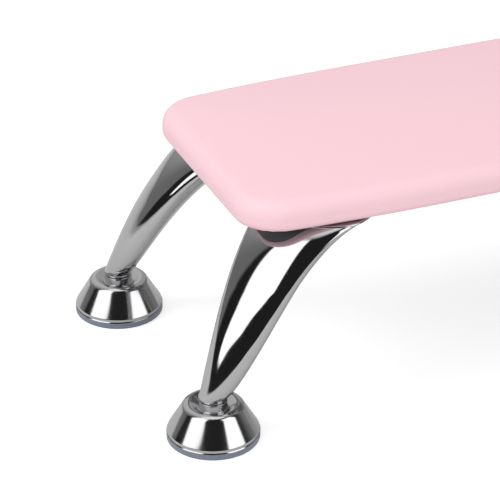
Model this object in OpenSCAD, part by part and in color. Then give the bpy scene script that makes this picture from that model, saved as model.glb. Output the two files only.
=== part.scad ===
// Manicure hand rest: a padded board on four horn-shaped cast legs that stand in screw feet.
// Millimetres, Z up, X along the board. The origin is on the table under the board's middle.

/* [Pad] */
// Length of the padded board
pad_l = 400; // [360:10:460]
// Width of the padded board at its middle
pad_w = 153; // [144:1:180]
// Height of the underside above the table
under_h = 111; // [100:0.1:125]
// Rise of the top from the pad's edge to its middle
crown = 2.5; // [1:0.5:5]
// Radius of the pad's corners, seen from above
corner_r = 23; // [18:1:28]
// How much each long side draws in at the pad's ends
end_draw = 5.5; // [2:0.5:9]
// Length over which a long side draws in
draw_l = 115; // [100:5:140]
// Radius of the pad's upper edge
top_roll = 8.5; // [4:0.5:9]
// Radius of the pad's lower edge
low_roll = 4.5; // [3:0.5:5.5]

/* [Pad layers] */
// Thickness of the leather cover
cover_t = 1; // [0.6:0.1:1.4]
// Distance of the hem's inner edge from the pad's edge
hem_w = 16; // [13:1:17]
// Thickness of the foam at the pad's edge
foam_t = 5.5; // [4:0.5:8]
// Thickness of the board
board_t = 9; // [9:0.5:12]
// Distance of the board's edge inside the start of the lower edge's curve
board_margin = 1; // [0.5:0.1:2]
// Thickness of the dust cloth
cloth_t = 0.5; // [0.3:0.1:0.8]
// Distance of the cloth's edge from the pad's edge
cloth_margin = 6; // [5:0.5:8]
// Gap between soft layers
soft_gap = 0.2; // [0.1:0.05:0.3]

/* [Staples] */
// Width of a staple
staple_w = 10; // [8:1:12]
// Length of a staple's legs
staple_l = 7; // [5:0.5:8]
// Thickness of the staple's wire
staple_wire = 0.6; // [0.4:0.1:0.8]
// Distance of the staples from the pad's edge
staple_margin = 11; // [10:0.5:12]
// Distance from one staple to the next
staple_pitch = 26; // [18:1:40]

/* [Legs] */
// Distance of a foot's axis beyond the pad's end
foot_overhang = 21.3; // [15:0.1:30]
// Distance of a foot's axis inside the line of the pad's long side
foot_inset = 4; // [1:0.5:5]
// Angle between a leg and the pad's length, seen from above
splay = 20.5; // [18:0.5:27]
// Diameter of the leg's tip and of the foot's neck
tip_d = 15.5; // [15:0.5:18]
// Height of the upright collar at the leg's tip
collar_h = 1.5; // [1:0.1:3]
// Distance from the foot's axis to the near side of the leg's root
root_near = 47.5; // [44:0.5:54]
// Length of the root, along the leg
root_l = 65; // [62:0.5:70]
// Width of the root, across the leg
root_w = 58; // [54:0.5:60]
// Radius of the shoulder that turns the root under the board
shoulder_r = 5.5; // [4:0.5:7]
// Wall of the casting round its hollow
leg_wall = 3.2; // [2.8:0.1:4]

/* [Feet] */
// Diameter of the foot
foot_d = 50; // [48:0.5:56]
// Height of the foot, from the table to the top of its neck
foot_h = 22.6; // [21:0.1:24]
// Height of the neck's top above the crest round it
neck_rise = 2.2; // [1.5:0.1:3]
// Diameter where the cone's side meets the level of the crest
cone_top_d = 31; // [29:0.2:33]
// Radius of the crest
foot_round = 4.1; // [3:0.1:5]
// Slope of the dish inside the crest
dish_slope = 30; // [20:5:40]
// How much the upright band at the foot of the cone leans inwards
ring_w = 0.2; // [0.1:0.1:1]
// Height of that band
ring_rise = 1.3; // [0.5:0.1:2]
// Height of the foot's edge
edge_h = 0.7; // [0.4:0.1:1.5]
// How much that edge leans inwards
edge_lean = 0.6; // [0.2:0.1:1]
// Wall of the cone, measured level
cup_wall = 2.2; // [1.8:0.1:3]
// Thickness of the foot's top under its crest
plate_t = 3.6; // [3:0.1:4.5]
// Thickness of the felt disc
felt_t = 3.5; // [2:0.5:5]
// Distance of the felt's edge inside the foot's edge
felt_inset = 0.3; // [0.1:0.1:1.5]
// Gap between the leg's tip and the foot's neck when it is screwed home
tip_gap = 0.3; // [0.2:0.1:0.6]

/* [Foot bolts] */
// Diameter of a foot's bolt
bolt_d = 6; // [5:0.5:6.5]
// Length of the bolt's thread in the leg's tip
bolt_grip = 8; // [7:0.5:8.5]
// Width of the bolt's head across its flats
head_af = 10; // [9:0.5:12]
// Height of the bolt's head
head_h = 4; // [3:0.5:5]
// Diameter of the washer
washer_d = 12.5; // [12:0.5:15]
// Thickness of the washer
washer_t = 1.2; // [0.8:0.1:1.6]
// Radial gap between the washer and the bolt
washer_gap = 0.2; // [0.1:0.05:0.3]
// Gap between the washer and the foot's top plate
turn_gap = 0.1; // [0.05:0.05:0.2]

/* [Board studs] */
// Diameter of the stud between a leg and the board
stud_d = 8; // [6:0.5:8]
// Length of the stud in the leg
stud_grip = 11; // [8:0.5:12]
// Distance from the near side of the leg's root to the stud, along the leg
stud_in = 22.5; // [21:0.5:25]
// Wall of the boss round the stud
boss_wall = 4; // [3:0.5:5]
// Outer diameter of the nut's barrel
nut_d = 10.5; // [10:0.5:12]
// Length of the nut, with its flange
nut_l = 8; // [6:0.5:8]
// Diameter of the nut's flange
nut_flange_d = 20; // [18:0.5:24]
// Thickness of the nut's flange
nut_flange_t = 1.5; // [1:0.1:2]
// Length of a prong of the nut
prong_l = 5; // [4:0.5:6]
// Width of a prong
prong_w = 3; // [2:0.5:4]
// Thickness of a prong
prong_t = 1; // [0.8:0.1:1.2]
// Distance of the prongs inside the flange's edge
prong_inset = 0.6; // [0.4:0.1:1]
// Distance of the stud's end below the board's top
stud_drop = 1.5; // [1:0.5:2]

/* [Fits] */
// Radial clearance of threads, turning pieces and pressed pieces
fit_gap = 0.05; // [0.02:0.01:0.08]
// Extra depth of a tapped hole beyond its screw
drill_tail = 0.4; // [0.2:0.1:0.5]
// Radial clearance of a stud in the dust cloth
cloth_gap = 0.5; // [0.3:0.1:1]
// Overrun of a cut past the face that it opens
cut = 1; // [0.5:0.5:2]

/* [Hidden] */
// Corners of the rest, each with the part of a node's name that it gives and its two signs
CORNERS = [["front_left", [-1, -1]], ["front_right", [1, -1]],
           ["rear_left", [-1, 1]], ["rear_right", [1, 1]]];
CORNER_PIECES = ["leg", "mount_stud", "tee_nut", "foot_bolt", "foot_washer", "foot_cup", "foot_pad"];

// Levels of the pad
base_z = under_h + cloth_t;
board_z = base_z + cover_t;
board_top = board_z + board_t;
edge_z = board_top + foam_t + cover_t;
// Levels of the feet and the legs
crest_z = foot_h - neck_rise;
tip_z = foot_h + tip_gap;
horn_z = tip_z + collar_h;
plate_z = crest_z - plate_t;
washer_z = plate_z - turn_gap - washer_t;
leg_rise = under_h - shoulder_r - horn_z;
// Places in plan
half_l = pad_l / 2;
half_w = pad_w / 2;
foot_x = half_l + foot_overhang;
foot_y = half_w - foot_inset;
root_far = root_near + root_l;
stud_reach = root_near + stud_in;
foot_r = foot_d / 2;
board_inset = low_roll + board_margin;

// The horn's two edge curves in the leg's own upright plane are cubic curves. Each has two inner
// control points, given as shares of the distance to the root's side and of the leg's rise.
outer_shares = [[0, 0.25], [0.474, 0.852]];
inner_shares = [[0.215, 0.306], [0.516, 1.02]];
// The half width of the section, at the same two control points, as shares of the root's half width
width_shares = [0.61, 0.71];
// Where the hollow starts along the horn
hollow_from_share = 0.35;
// The hollow's distance inside the horn's slanting sections, as a share of the wall
slant_share = 1.3;
// How much of a section's length and width the hollow leaves at the root, besides its walls
toe_share = 0.38;
flank_share = 0.2;
// Places of the crown's rings between the pad's edge and its middle line
crown_shares = [0.12, 0.3, 0.55, 0.9];
// How fast the crown flattens towards the middle
crown_power = 2.2;
// How far the dish runs on from the crest, as a share of its distance from the neck
dish_share = 0.6;
// Points on a long side, as shares of the length that draws in
side_shares = [0.4, 0.6, 0.8, 1];

corner_steps = 6;
roll_steps = 4;
dish_steps = 7;
horn_sides = 36;
horn_steps = 22;
hollow_sides = 18;
hollow_steps = 6;
// The upper edge's curve stops where its slope meets the crown's
top_roll_end = 84;

// A cubic curve's point at t, for numbers or points
function curve(p, t) = pow(1 - t, 3) * p[0] + 3 * pow(1 - t, 2) * t * p[1]
    + 3 * (1 - t) * t * t * p[2] + pow(t, 3) * p[3];

// The pad's outline, a distance inside its edge
function draw_in(x) = 1 - end_draw / half_w * pow(max(0, 1 - (half_l - abs(x)) / draw_l), 2);
function quarter(off) = let (r = corner_r - off) concat(
    [for (k = [0:corner_steps]) let (a = 90 * k / corner_steps)
        [half_l - corner_r + r * cos(a), half_w - corner_r + r * sin(a)]],
    [for (s = side_shares) [half_l - draw_l * s, half_w - off]]);
function backwards(v) = [for (i = [len(v) - 1:-1:0]) v[i]];
function rim(off) = let (q = [for (p = quarter(off)) [p.x, p.y * draw_in(p.x)]]) concat(
    q, [for (p = backwards(q)) [-p.x, p.y]],
    [for (p = q) [-p.x, -p.y]], [for (p = backwards(q)) [p.x, -p.y]]);
function at_height(points, z) = [for (p = points) [p.x, p.y, z]];

// Rings of the padded shape from its lower edge to its crown, a layer's thickness inside the outside
function crown_ring(layer, t) = let (
        spine = half_l - half_w,
        start = rim(top_roll - (top_roll - layer) * cos(top_roll_end)),
        z = edge_z - layer + crown * (1 - pow(1 - t, crown_power)))
    [for (p = start) let (mid_x = max(-spine, min(spine, p.x))) [p.x + (mid_x - p.x) * t, p.y * (1 - t), z]];
function padded_rings(layer) = concat(
    [for (a = [-90:30:0]) at_height(rim(low_roll - (low_roll - layer) * cos(a)),
        base_z + low_roll + (low_roll - layer) * sin(a))],
    [for (k = [0:roll_steps]) let (a = top_roll_end * k / roll_steps)
        at_height(rim(top_roll - (top_roll - layer) * cos(a)),
            edge_z - top_roll + (top_roll - layer) * sin(a))],
    [for (t = crown_shares) crown_ring(layer, t)]);

// The horn's edge curves and half width, as (distance from the foot's axis, height)
function edge_curve(x_start, x_end, shares) = concat(
    [[x_start, horn_z]],
    [for (s = shares) [s.x * x_end, horn_z + s.y * leg_rise]],
    [[x_end, horn_z + leg_rise]]);
outer_curve = edge_curve(-tip_d / 2, root_near, outer_shares);
inner_curve = edge_curve(tip_d / 2, root_far, inner_shares);
width_curve = concat([tip_d / 2], width_shares * root_w / 2, [root_w / 2]);
function oval(outer, inner, half, sides) = let (mid = (outer + inner) / 2, arm = (inner - outer) / 2)
    [for (k = [0:sides - 1]) let (a = 360 * k / sides)
        [mid.x + arm.x * cos(a), half * sin(a), mid.y + arm.y * cos(a)]];
function horn_ring(t) = oval(curve(outer_curve, t), curve(inner_curve, t), curve(width_curve, t), horn_sides);
function shoulder_ring(a) = let (
        drawn = shoulder_r * (1 - cos(a)), up = horn_z + leg_rise + shoulder_r * sin(a))
    oval([root_near + drawn, up], [root_far - drawn, up], root_w / 2 - drawn, horn_sides);
// The hollow draws in towards the root, where it has to pass inside the shoulder
function hollow_inset(t) = let (slanted = slant_share * leg_wall)
    slanted + (shoulder_r + leg_wall - slanted) * pow(t, 3);
function hollow_ring(t, lift) = let (
        outer = curve(outer_curve, t), span = curve(inner_curve, t) - outer, inset = hollow_inset(t),
        start = outer + span * inset / norm(span),
        end = start + span * (1 - toe_share * t - (inset + slant_share * leg_wall) / norm(span)))
    oval(start + [0, lift], end + [0, lift],
        (curve(width_curve, t) - inset) * (1 - flank_share * t), hollow_sides);

// Closed solid through rings of as many points each, flat at its two ends
module loft(rings) {
    n = len(rings[0]);
    last = (len(rings) - 1) * n;
    walls = [for (i = [0:len(rings) - 2], k = [0:n - 1])
        let (a = i * n + k, b = i * n + (k + 1) % n) each [[a, a + n, b], [b, a + n, b + n]]];
    polyhedron([for (r = rings) each r],
        concat([[for (k = [0:n - 1]) k]], [[for (k = [n - 1:-1:0]) last + k]], walls), convexity = 6);
}

// Puts a piece at a corner, with +X along the leg from the foot towards the pad's middle
module at_corner(signs) {
    translate([signs.x * foot_x, signs.y * foot_y, 0])
        rotate([0, 0, atan2(-signs.y * sin(splay), -signs.x * cos(splay))])
            children();
}

// Four prongs of a nut, grown by a clearance, with their upper ends at z = 0
module prongs(grow) {
    for (k = [0:3])
        rotate([0, 0, 90 * k])
            translate([nut_flange_d / 2 - prong_inset - prong_t - grow, -prong_w / 2 - grow, -prong_l - grow])
                cube([prong_t + 2 * grow, prong_w + 2 * grow, prong_l + grow]);
}

module pad_cover() {
    color("pink")
        loft(concat(
            backwards(padded_rings(cover_t)),
            [at_height(rim(hem_w), board_z), at_height(rim(hem_w), base_z)],
            padded_rings(0)));
}

module pad_foam() {
    pocket = rim(board_inset - soft_gap);
    color("lightyellow")
        loft(concat(
            [at_height(pocket, board_top + soft_gap), at_height(pocket, board_z + soft_gap)],
            padded_rings(cover_t + soft_gap)));
}

module pad_board() {
    color("burlywood") difference() {
        translate([0, 0, board_z]) linear_extrude(board_t) polygon(rim(board_inset));
        for (c = CORNERS)
            at_corner(c[1]) translate([stud_reach, 0, 0]) {
                translate([0, 0, board_z - cut])
                    cylinder(h = board_t + 2 * cut, d = nut_d + 2 * fit_gap, $fn = 64);
                translate([0, 0, board_top - nut_flange_t])
                    cylinder(h = nut_flange_t + cut, d = nut_flange_d + 2 * fit_gap, $fn = 64);
                translate([0, 0, board_top - nut_flange_t]) prongs(fit_gap);
            }
    }
}

module underside_cloth() {
    color("black") difference() {
        translate([0, 0, under_h]) linear_extrude(cloth_t) polygon(rim(cloth_margin));
        for (c = CORNERS)
            at_corner(c[1]) translate([stud_reach, 0, under_h - cut])
                cylinder(h = cloth_t + 2 * cut, d = stud_d + 2 * cloth_gap, $fn = 64);
    }
}

// One staple with its crown along X under the cloth and its legs driven up
module staple() {
    translate([-staple_w / 2, -staple_wire / 2, -staple_wire]) cube([staple_w, staple_wire, staple_wire]);
    for (x = [-staple_w / 2, staple_w / 2 - staple_wire])
        translate([x, -staple_wire / 2, -staple_wire])
            cube([staple_wire, staple_wire, staple_l + staple_wire]);
}

module cloth_staples() {
    // The rows keep clear of the legs' roots and of the rounded corners
    long_row = foot_x - root_far * cos(splay) - root_w / 2 - staple_w;
    end_row = half_w - corner_r - staple_w / 2;
    long_count = floor(2 * long_row / staple_pitch);
    end_count = floor(2 * end_row / staple_pitch);
    color("silver") translate([0, 0, under_h]) {
        for (k = [0:long_count], side = [-1, 1]) {
            x = (k - long_count / 2) * staple_pitch;
            translate([x, side * (half_w * draw_in(x) - staple_margin), 0]) staple();
        }
        for (k = [0:end_count], side = [-1, 1])
            translate([side * (half_l - staple_margin), (k - end_count / 2) * staple_pitch, 0])
                rotate([0, 0, 90]) staple();
    }
}

module leg(signs) {
    stud_bottom = under_h - stud_grip - drill_tail;
    color("gainsboro") at_corner(signs) difference() {
        loft(concat(
            [oval([-tip_d / 2, tip_z], [tip_d / 2, tip_z], tip_d / 2, horn_sides)],
            [for (i = [0:horn_steps]) horn_ring(i / horn_steps)],
            [for (a = [22.5:22.5:90]) shoulder_ring(a)]));
        difference() {
            loft(concat(
                [for (i = [0:hollow_steps]) let (t = i / hollow_steps)
                    hollow_ring(hollow_from_share * (1 - t) + t, 0)],
                [hollow_ring(1, shoulder_r + cut)]));
            translate([stud_reach, 0, horn_z])
                cylinder(h = leg_rise + shoulder_r, d = stud_d + 2 * boss_wall, $fn = 48);
        }
        translate([stud_reach, 0, stud_bottom])
            cylinder(h = stud_grip + drill_tail + cut, d = stud_d + 2 * fit_gap, $fn = 64);
        translate([0, 0, tip_z - cut])
            cylinder(h = bolt_grip + drill_tail + cut, d = bolt_d + 2 * fit_gap, $fn = 64);
    }
}

module mount_stud(signs) {
    color("gray") at_corner(signs) translate([stud_reach, 0, under_h - stud_grip])
        cylinder(h = board_top - stud_drop - under_h + stud_grip, d = stud_d, $fn = 64);
}

module tee_nut(signs) {
    color("lightgray") at_corner(signs) translate([stud_reach, 0, board_top]) {
        difference() {
            union() {
                translate([0, 0, -nut_flange_t]) cylinder(h = nut_flange_t, d = nut_flange_d, $fn = 64);
                translate([0, 0, -nut_l]) cylinder(h = nut_l, d = nut_d, $fn = 64);
                translate([0, 0, -nut_flange_t]) prongs(0);
            }
            translate([0, 0, -nut_l - cut]) cylinder(h = nut_l + 2 * cut, d = stud_d + 2 * fit_gap, $fn = 64);
        }
    }
}

module foot_bolt(signs) {
    head_z = washer_z - head_h;
    color("darkgray") at_corner(signs) {
        translate([0, 0, head_z]) cylinder(h = head_h, d = head_af / cos(30), $fn = 6);
        translate([0, 0, head_z]) cylinder(h = tip_z + bolt_grip - head_z, d = bolt_d, $fn = 64);
    }
}

module foot_washer(signs) {
    color("silver") at_corner(signs) translate([0, 0, washer_z]) difference() {
        cylinder(h = washer_t, d = washer_d, $fn = 64);
        translate([0, 0, -cut]) cylinder(h = washer_t + 2 * cut, d = bolt_d + 2 * washer_gap, $fn = 64);
    }
}

module foot_cup(signs) {
    edge_r = foot_r - edge_lean;
    edge_top = felt_t + edge_h;
    ring_z = edge_top + ring_rise;
    cone_low_r = edge_r - ring_w;
    cone_top_r = cone_top_d / 2;
    // Radius that the cone gains for each unit of height going down
    taper = (cone_low_r - cone_top_r) / (crest_z - ring_z);
    tilt = atan(taper);
    round_x = cone_top_r - foot_round * (1 - sin(tilt)) / cos(tilt);
    round_z = crest_z - foot_round;
    crest_end = 90 + dish_slope;
    crest_steps = 8;
    hole_r = bolt_d / 2 + fit_gap;
    // The dish runs from the crest's inner end into the upright neck
    dish_start = [round_x + foot_round * cos(crest_end), round_z + foot_round * sin(crest_end)];
    run = dish_share * (dish_start.x - tip_d / 2);
    dish_low = dish_start - run * [1, tan(dish_slope)];
    dish = [[tip_d / 2, foot_h], [tip_d / 2, dish_low.y], dish_low, dish_start];
    color("gainsboro") at_corner(signs) rotate_extrude($fn = 96) polygon(concat(
        [[hole_r, plate_z], [hole_r, foot_h]],
        [for (k = [0:dish_steps]) curve(dish, k / dish_steps)],
        [for (k = [1:crest_steps]) let (a = crest_end + (tilt - crest_end) * k / crest_steps)
            [round_x + foot_round * cos(a), round_z + foot_round * sin(a)]],
        [[cone_low_r, ring_z], [edge_r, edge_top], [foot_r, felt_t]],
        [[cone_low_r + taper * (ring_z - felt_t) - cup_wall, felt_t],
         [cone_top_r + taper * plate_t - cup_wall, plate_z]]));
}

module foot_pad(signs) {
    color("lightslategray") at_corner(signs) cylinder(h = felt_t, r = foot_r - felt_inset, $fn = 96);
}

pad_cover();
pad_foam();
pad_board();
underside_cloth();
cloth_staples();
for (c = CORNERS) {
    leg(c[1]);
    mount_stud(c[1]);
    tee_nut(c[1]);
    foot_bolt(c[1]);
    foot_washer(c[1]);
    foot_cup(c[1]);
    foot_pad(c[1]);
}
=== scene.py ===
"""Dresses a padded manicure hand rest on four horn-shaped legs, and sets it on a pale studio floor."""

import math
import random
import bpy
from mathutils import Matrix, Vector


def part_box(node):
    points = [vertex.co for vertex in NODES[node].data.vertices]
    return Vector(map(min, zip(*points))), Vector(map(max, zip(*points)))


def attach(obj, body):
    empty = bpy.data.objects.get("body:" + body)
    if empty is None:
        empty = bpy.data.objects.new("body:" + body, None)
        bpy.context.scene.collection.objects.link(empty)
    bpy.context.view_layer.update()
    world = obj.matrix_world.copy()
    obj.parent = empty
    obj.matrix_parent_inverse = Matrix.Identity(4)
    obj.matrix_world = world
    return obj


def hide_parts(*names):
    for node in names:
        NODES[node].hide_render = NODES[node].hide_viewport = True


bl_info = {
    "name": "Manicure hand rest",
    "version": (1, 0, 0),
    "blender": (4, 5, 0),
    "location": "View3D > Sidebar > Hand rest",
    "description": "Upholsters and finishes a padded hand rest with polished horn legs and screw feet",
    "category": "Object",
}

import bmesh
import bpy
from bpy.props import FloatProperty, FloatVectorProperty, PointerProperty
from mathutils import Matrix, Vector

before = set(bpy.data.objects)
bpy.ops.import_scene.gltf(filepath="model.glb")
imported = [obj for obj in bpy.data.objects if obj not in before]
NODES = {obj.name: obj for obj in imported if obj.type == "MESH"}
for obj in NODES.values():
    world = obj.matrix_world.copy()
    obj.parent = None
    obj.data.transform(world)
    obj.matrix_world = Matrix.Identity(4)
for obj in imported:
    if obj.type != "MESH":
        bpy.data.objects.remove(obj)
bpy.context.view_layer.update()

MM = 0.001
CORNERS = {
    "front_left": (-1, -1),
    "front_right": (1, -1),
    "rear_left": (-1, 1),
    "rear_right": (1, 1),
}

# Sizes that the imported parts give
PAD_LOW, PAD_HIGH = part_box("pad_cover")
FOAM_LOW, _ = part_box("pad_foam")
BOARD_LOW, BOARD_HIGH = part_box("pad_board")
CLOTH_LOW, CLOTH_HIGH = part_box("underside_cloth")
STAPLE_LOW, STAPLE_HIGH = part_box("cloth_staples")
CUP_LOW, CUP_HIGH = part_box("foot_cup_rear_right")
FELT_LOW, FELT_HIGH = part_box("foot_pad_rear_right")
BOLT_LOW, BOLT_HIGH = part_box("foot_bolt_rear_right")
WASHER_LOW, WASHER_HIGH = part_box("foot_washer_rear_right")
HORN_LOW, HORN_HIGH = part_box("leg_rear_right")
# Radii of the foot bolts, of the holes they pass and of the washers' holes
BOLT_RADIUS = 3 * MM
BORE_RADIUS = 3.05 * MM
WASHER_HOLE = 3.2 * MM
FOOT_X = (CUP_LOW.x + CUP_HIGH.x) / 2
FOOT_Y = (CUP_LOW.y + CUP_HIGH.y) / 2


def length(name, description, default):
    return FloatProperty(name=name, description=description, default=default, unit="LENGTH", precision=4)


def angle(name, description, degrees):
    return FloatProperty(name=name, description=description, default=math.radians(degrees), subtype="ANGLE")


def share(name, description, default):
    return FloatProperty(name=name, description=description, default=default, min=0, max=1, subtype="FACTOR")


def number(name, description, default):
    return FloatProperty(name=name, description=description, default=default)


def group_of(kind, name, description):
    return PointerProperty(type=kind, name=name, description=description)


def colour(name, description, red, green, blue):
    """A colour given in the usual screen values from 0 to 255."""
    linear = [screen_to_linear(value / 255) for value in (red, green, blue)]
    return FloatVectorProperty(name=name, description=description, default=linear, min=0, max=1, size=3,
                               subtype="COLOR")


def screen_to_linear(value):
    return value / 12.92 if value <= 0.04045 else ((value + 0.055) / 1.055) ** 2.4


class PadSizes(bpy.types.PropertyGroup):
    length: length("Length", "Length of the padded board", PAD_HIGH.x - PAD_LOW.x)
    width: length("Width", "Width of the padded board at its middle", PAD_HIGH.y - PAD_LOW.y)
    corner: length("Corner radius", "Radius of the pad's corners", 23 * MM)
    end_draw: length("End draw", "How much each long side draws in at the pad's ends", 5.5 * MM)
    draw_length: length("Draw length", "Length over which a long side draws in", 115 * MM)
    top_roll: length("Upper edge", "Radius of the pad's upper edge", 8.5 * MM)
    low_roll: length("Lower edge", "Radius of the pad's lower edge", 4.5 * MM)
    crown: length("Crown", "Rise of the top from the pad's edge to its middle", 2.5 * MM)
    leather: length("Leather", "Thickness of the leather cover", BOARD_LOW.z - PAD_LOW.z)
    hem: length("Hem", "From the pad's edge to the hem's inner edge", 16 * MM)
    soft_gap: length("Soft gap", "Gap between soft layers", 0.2 * MM)
    pleat: length("Pleats", "Depth of the pleats where the hem turns the corners", 0.35 * MM)
    pink: colour("Leather colour", "Colour of the leather cover", 249, 208, 217)
    foam: colour("Foam colour", "Colour of the foam", 240, 231, 205)


class UndersideSizes(bpy.types.PropertyGroup):
    hem: length("Turned edge", "Width of the dust cloth's turned-under edge", 9 * MM)
    staple_width: length("Staple width", "Width of a staple", 10 * MM)
    staple_leg: length("Staple leg", "Length of a staple's legs", STAPLE_HIGH.z - CLOTH_LOW.z)
    wire: length("Wire", "Thickness of the staple's wire", CLOTH_LOW.z - STAPLE_LOW.z)
    margin: length("Staple margin", "From the pad's edge to the staples", 11 * MM)
    pitch: length("Staple pitch", "From one staple to the next", 26 * MM)
    grey: colour("Cloth colour", "Colour of the dust cloth", 118, 118, 121)


class HornSizes(bpy.types.PropertyGroup):
    splay: angle("Splay", "Angle of a leg to the pad's length", 20.5)
    tip: length("Tip diameter", "Diameter of the leg's tip and of the foot's neck", 15.5 * MM)
    collar: length("Collar", "Height of the upright collar at the leg's tip", 1.5 * MM)
    root_near: length("Root start", "From the foot's axis to the near side of the root", 47.5 * MM)
    root_length: length("Root length", "Length of the root, along the leg", 65 * MM)
    root_width: length("Root width", "Width of the root, across the leg", 58 * MM)
    shoulder: length("Shoulder", "Radius that turns the root under the board", 1 * MM)
    tip_edge: length("Tip edge", "Radius of the tip's edge", 0.5 * MM)
    facet: share("Facet", "How much flatter than round the leg's section is on its outer side", 0.52)
    facet_turn: angle("Facet turn", "Turn of that side from the leg's own direction to its outer flank", 19)
    twist: angle("Twist", "How much further round that side is at the leg's tip", 38)
    sway: length("Sway", "How far the leg's middle bows towards its outer flank", 2.5 * MM)
    tint: colour("Chrome tint", "Reflection of the chrome plating", 197, 197, 198)


class FootSizes(bpy.types.PropertyGroup):
    diameter: length("Foot diameter", "Diameter of the foot", CUP_HIGH.x - CUP_LOW.x)
    neck_rise: length("Neck", "Height of the neck's top above the crest round it", 2.2 * MM)
    cone_top: length("Cone top", "Diameter where the cone's side meets the level of the crest", 31 * MM)
    crest: length("Crest", "Radius of the crest", 4.1 * MM)
    dish_slope: angle("Dish slope", "Slope of the dish inside the crest", 30)
    band_lean: length("Band lean", "How much the upright band under the cone leans inwards", 0.2 * MM)
    band: length("Band", "Height of the upright band under the cone", 1.3 * MM)
    edge: length("Edge", "Height of the foot's edge", 0.7 * MM)
    edge_lean: length("Edge lean", "How much that edge leans inwards", 0.6 * MM)
    wall: length("Wall", "Wall of the cone, measured level", 2.2 * MM)
    plate: length("Top", "Thickness of the foot's top under its crest", 3.6 * MM)
    head_flats: length("Bolt head", "Width of the bolt's head across its flats", 10 * MM)
    head_height: length("Head height", "Height of the bolt's head", 4 * MM)
    pitch: length("Thread pitch", "Rise of the bolt's thread in one turn", 1 * MM)
    felt: colour("Felt colour", "Colour of the felt disc", 122, 130, 147)


class StageSettings(bpy.types.PropertyGroup):
    focal: number("Focal length", "Focal length in millimetres on a 36 mm frame", 187.85)
    distance: length("Camera distance", "From the aiming plane to the camera", 1.4323)
    yaw: angle("Yaw", "Turn of the view to the right of straight ahead", 22.39)
    pitch: angle("Pitch", "Tilt of the view below the horizon", 28.89)
    roll: angle("Roll", "Turn of the camera about its axis", -0.175)
    aside: length("Offset right", "Camera's offset to the right of the feet", 47.17 * MM)
    above: length("Offset up", "Camera's offset upwards from the feet", 64.88 * MM)
    key: number("Key light", "Power of the soft light from the upper left, in watts", 10)
    ceiling: number("Ceiling light", "Power of the ceiling light, in watts", 5)
    front: number("Front light", "Power of the soft light beside the camera, in watts", 10)
    sky: number("Fill", "Strength of the even light from all round", 0.62)
    softbox: number("Softboxes", "Brightness of the two softboxes that the metal mirrors", 1.9)


class HandRest(bpy.types.PropertyGroup):
    pad: group_of(PadSizes, "Pad", "Sizes and colours of the pad")
    underside: group_of(UndersideSizes, "Underside", "Sizes of the dust cloth and the staples")
    horn: group_of(HornSizes, "Horn legs", "Sizes and tint of the legs")
    foot: group_of(FootSizes, "Feet", "Sizes of the screw feet and colour of the felt")
    stage: group_of(StageSettings, "Stage", "Camera and lights")


class Wire:
    """The output of a shader node. Maths with wires and numbers adds Math nodes."""

    def __init__(self, finish, socket):
        self.finish = finish
        self.socket = socket

    def maths(self, operation, first, second):
        made = self.finish.node("Math", {"operation": operation}, {0: first, 1: second})
        return Wire(self.finish, made.outputs[0])

    def __add__(self, other):
        return self.maths("ADD", self, other)

    def __radd__(self, other):
        return self.maths("ADD", other, self)

    def __sub__(self, other):
        return self.maths("SUBTRACT", self, other)

    def __rsub__(self, other):
        return self.maths("SUBTRACT", other, self)

    def __mul__(self, other):
        return self.maths("MULTIPLY", self, other)

    def __rmul__(self, other):
        return self.maths("MULTIPLY", other, self)

    def largest(self, other):
        return self.maths("MAXIMUM", self, other)


class Finish:
    """A material or world in the making. Every node of it comes from node()."""

    def __init__(self, name, tree=None):
        if tree is None:
            self.material = bpy.data.materials.new(name)
            self.material.use_nodes = True
            tree = self.material.node_tree
        self.tree = tree
        self.tree.nodes.clear()

    def node(self, kind, settings=None, inputs=None):
        made = self.tree.nodes.new("ShaderNode" + kind)
        for name, value in (settings or {}).items():
            setattr(made, name, value)
        for name, value in (inputs or {}).items():
            if isinstance(value, Wire):
                self.tree.links.new(value.socket, made.inputs[name])
            else:
                made.inputs[name].default_value = value
        return made

    def wire(self, kind, output, settings=None, inputs=None):
        return Wire(self, self.node(kind, settings, inputs).outputs[output])

    def place(self, scale=(1, 1, 1)):
        """Object coordinates in metres, stretched."""
        here = self.wire("TexCoord", "Object")
        return self.wire("Mapping", "Vector", {}, {"Vector": here, "Scale": scale})

    def noise(self, where, scale, detail=3, roughness=0.5):
        return self.wire("TexNoise", "Fac", {}, {"Vector": where, "Scale": scale, "Detail": detail,
                                                 "Roughness": roughness})

    def cells(self, where, scale, feature="F1", output="Distance"):
        return self.wire("TexVoronoi", output, {"feature": feature}, {"Vector": where, "Scale": scale})

    def blend(self, mask, low, high):
        """A colour between two colours."""
        return self.wire("Mix", 2, {"data_type": "RGBA"}, {0: mask, 6: low, 7: high})

    def between(self, mask, low, high):
        """A number between two numbers, from a mask that runs from 0 to 1."""
        return self.wire("MapRange", "Result", {}, {"Value": mask, "To Min": low, "To Max": high})

    def ramp(self, value, low, high):
        """Runs smoothly from 0 at low to 1 at high."""
        return self.wire("MapRange", "Result", {"interpolation_type": "SMOOTHSTEP"},
                         {"Value": value, "From Min": low, "From Max": high})

    def relief(self, height, distance, under=None):
        inputs = {"Height": height, "Distance": distance, "Strength": 1.0}
        if under is not None:
            inputs["Normal"] = under
        return self.wire("Bump", "Normal", {}, inputs)

    def shader(self, inputs):
        """Ends the material in a Principled shader."""
        surface = self.wire("BsdfPrincipled", "BSDF", {}, inputs)
        self.node("OutputMaterial", {}, {"Surface": surface})
        return self.material


def paint(value, strength=1.0):
    """A colour property as a socket's colour, made darker or lighter."""
    return (*[min(1, part * strength) for part in value], 1)


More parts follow.
